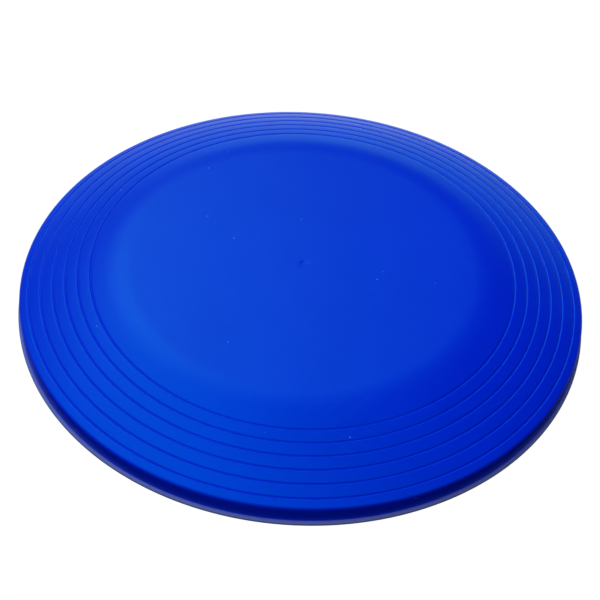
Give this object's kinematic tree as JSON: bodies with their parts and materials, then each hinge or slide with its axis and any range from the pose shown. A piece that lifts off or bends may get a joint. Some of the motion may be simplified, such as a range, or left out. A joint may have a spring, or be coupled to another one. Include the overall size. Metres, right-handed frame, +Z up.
{
  "type": "flying disc",
  "caption": "Round throwing disc moulded in one piece: flat flight plate, sloping shoulder with concentric grip rings, short rim with a lip at its foot, hollow underneath.",
  "frame": {"origin": "centre of the foot ring, on the surface that the disc stands on", "axes": "+Z up along the disc's axis, away from the hollow side; X and Y are alike"},
  "size_m": [0.23, 0.23, 0.0224],
  "materials": {
    "disc_plastic": "saturated royal blue polypropylene, smooth semi-gloss as moulded, with faint hairline scuffs"
  },
  "bodies": {
    "root": {"disc_body": "disc_plastic"}
  },
  "joints": []
}
